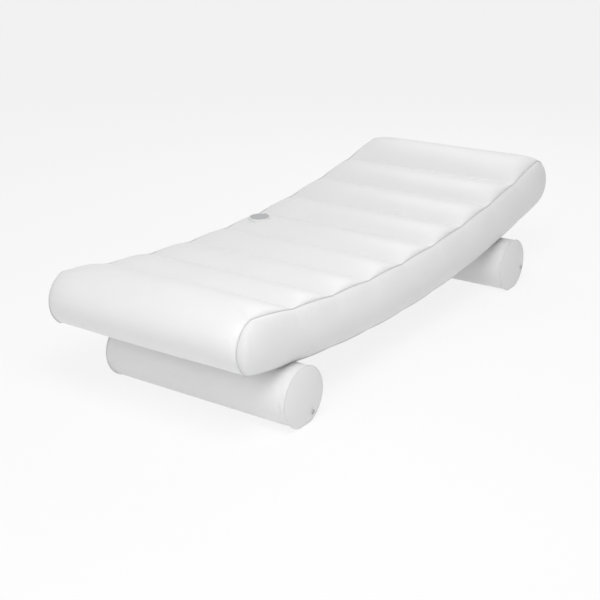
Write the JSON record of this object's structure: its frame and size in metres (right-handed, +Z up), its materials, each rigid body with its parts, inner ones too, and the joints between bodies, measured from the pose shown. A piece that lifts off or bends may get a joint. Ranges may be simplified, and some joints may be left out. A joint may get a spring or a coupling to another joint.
{
  "type": "inflatable sun lounger",
  "caption": "Inflatable film sun lounger: a channelled mattress that sags in a shallow hollow and stands on two inflated bolsters, with capped air valves.",
  "frame": {"origin": "on the floor, below the middle of the lounger's own box", "axes": "+X from the foot end to the head end, +Y to the left side, +Z up"},
  "size_m": [1.9544, 0.8394, 0.4378],
  "materials": {
    "film_white": "satin film",
    "valve_white": "moulded, satin",
    "valve_grey": "moulded, satin",
    "flap_rubber": "matt"
  },
  "bodies": {
    "lounger": {"mattress_top_sheet": "film_white", "mattress_bottom_sheet": "film_white", "left_side_panel": "film_white", "right_side_panel": "film_white", "left_seam_fin": "film_white", "right_seam_fin": "film_white", "baffle_1": "film_white", "baffle_2": "film_white", "baffle_3": "film_white", "baffle_4": "film_white", "baffle_5": "film_white", "baffle_6": "film_white", "baffle_7": "film_white", "baffle_8": "film_white", "mattress_valve_collar": "valve_white", "mattress_valve_seat": "valve_white", "mattress_valve_cap_pin": "valve_white", "mattress_valve_flap_pin": "valve_white", "front_bolster_tube": "film_white", "front_bolster_right_end": "film_white", "front_bolster_left_end": "film_white", "front_bolster_right_ring": "film_white", "front_bolster_left_ring": "film_white", "front_weld_strip": "film_white", "front_valve_base": "valve_white", "rear_bolster_tube": "film_white", "rear_bolster_right_end": "film_white", "rear_bolster_left_end": "film_white", "rear_bolster_right_ring": "film_white", "rear_bolster_left_ring": "film_white", "rear_weld_strip": "film_white", "rear_valve_base": "valve_white"},
    "mattress_valve_cap": {"mattress_valve_cap": "valve_grey"},
    "mattress_valve_flap": {"mattress_valve_flap": "flap_rubber"},
    "front_valve_stem": {"front_valve_stem": "valve_white", "front_valve_plug_pin": "valve_white"},
    "front_valve_plug": {"front_valve_plug": "valve_grey"},
    "rear_valve_stem": {"rear_valve_stem": "valve_white", "rear_valve_plug_pin": "valve_white"},
    "rear_valve_plug": {"rear_valve_plug": "valve_grey"}
  },
  "joints": [
    {"name": "mattress_cap_hinge", "type": "hinge", "parent": "lounger", "child": "mattress_valve_cap", "pos_m": [0.03729, 0.30869, 0.33336], "axis": [0, 1, 0], "range_deg": [0, 150]},
    {"name": "mattress_flap_hinge", "type": "hinge", "parent": "lounger", "child": "mattress_valve_flap", "pos_m": [0.02008, 0.30869, 0.30846], "axis": [0, -1, 0], "range_deg": [0, 60], "stiffness_Nm_per_rad": 0.003, "springref_deg": -17.19},
    {"name": "front_stem_slide", "type": "slide", "parent": "lounger", "child": "front_valve_stem", "axis": [0.0828, -0.9843, -0.1557], "range_m": [0, 0.012]},
    {"name": "front_plug_hinge", "type": "hinge", "parent": "front_valve_stem", "child": "front_valve_plug", "pos_m": [-0.69854, -0.4183, 0.04255], "axis": [-0.8829, 0, -0.4695], "range_deg": [0, 120]},
    {"name": "rear_stem_slide", "type": "slide", "parent": "lounger", "child": "rear_valve_stem", "axis": [0.1635, -0.9843, -0.0661], "range_m": [0, 0.012]},
    {"name": "rear_plug_hinge", "type": "hinge", "parent": "rear_valve_stem", "child": "rear_valve_plug", "pos_m": [0.65773, -0.4183, 0.07188], "axis": [-0.3746, 0, -0.9272], "range_deg": [0, 120]}
  ]
}
